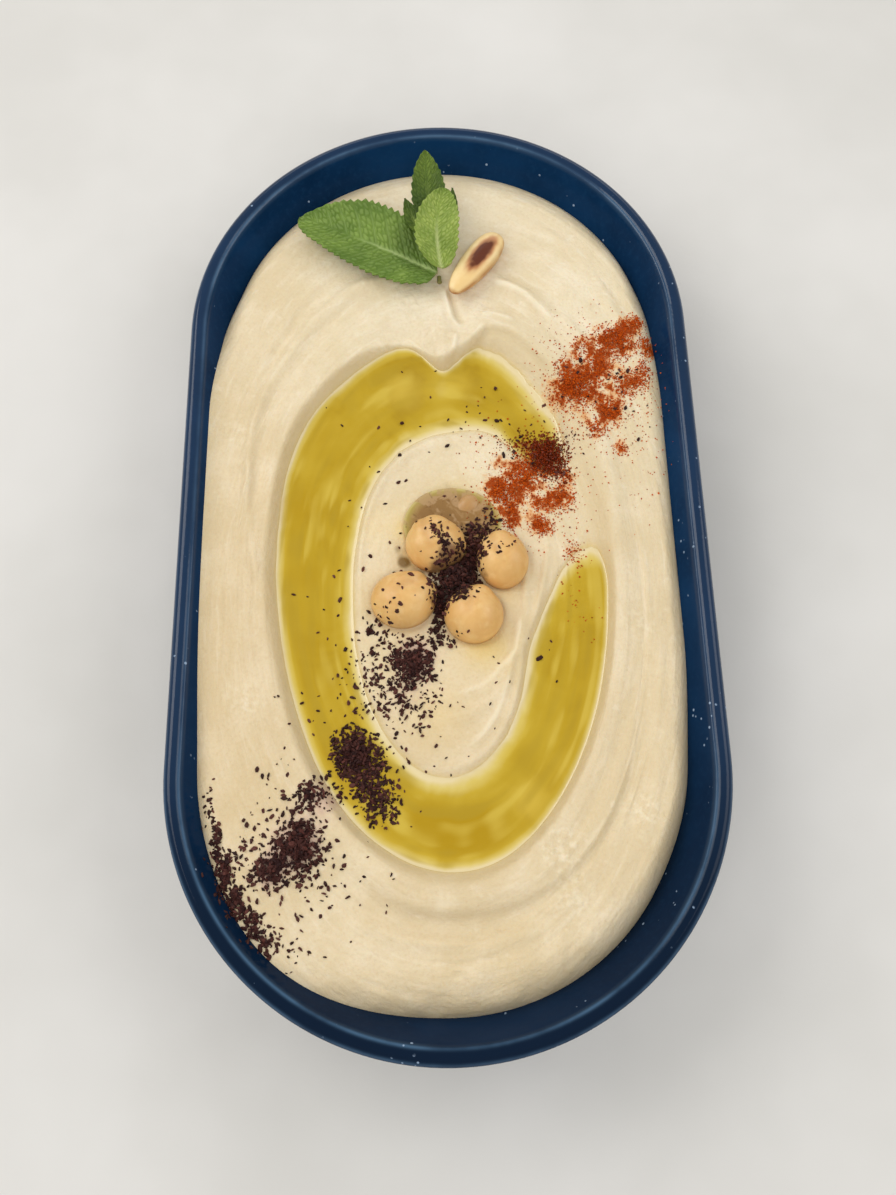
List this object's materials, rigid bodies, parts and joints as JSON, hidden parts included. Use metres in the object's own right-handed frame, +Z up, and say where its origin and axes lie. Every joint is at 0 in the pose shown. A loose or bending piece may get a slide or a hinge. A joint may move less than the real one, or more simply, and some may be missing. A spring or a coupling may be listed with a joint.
{
  "type": "hummus in an oval dish",
  "caption": "Hummus spooned into an oval dish, with an oil filled swirl, chickpeas, mint, a pine nut, sumac and paprika.",
  "frame": {"origin": "under the middle of the dish, on the surface that its foot stands on", "axes": "+Z up, +Y along the dish towards the mint, +X across the dish to the right as seen from the plain end"},
  "size_m": [0.105, 0.2, 0.038],
  "materials": {
    "glaze": "glossy dark blue glaze with fine pale specks and a paler lip",
    "hummus": "smooth cream paste, softly sheened",
    "oil": "clear golden green olive oil",
    "chickpea": "cooked, smooth and slightly waxy",
    "mint": "fresh leaf with sunken veins",
    "stem": "cut green stalk browned at its end",
    "nut": "toasted, oily, dark brown on one face",
    "sumac": "dark maroon flakes",
    "paprika": "red orange powder and crumbs"
  },
  "bodies": {
    "root": {"dish": "glaze", "hummus": "hummus", "oil_ring": "oil", "oil_pool": "oil", "chickpea_1": "chickpea", "chickpea_2": "chickpea", "chickpea_3": "chickpea", "chickpea_4": "chickpea", "chickpea_5": "chickpea", "mint_leaf_large": "mint", "mint_leaf_front": "mint", "mint_leaf_back": "mint", "mint_leaf_left": "mint", "mint_leaf_right": "mint", "mint_stem": "stem", "pine_nut": "nut"}
  },
  "joints": []
}
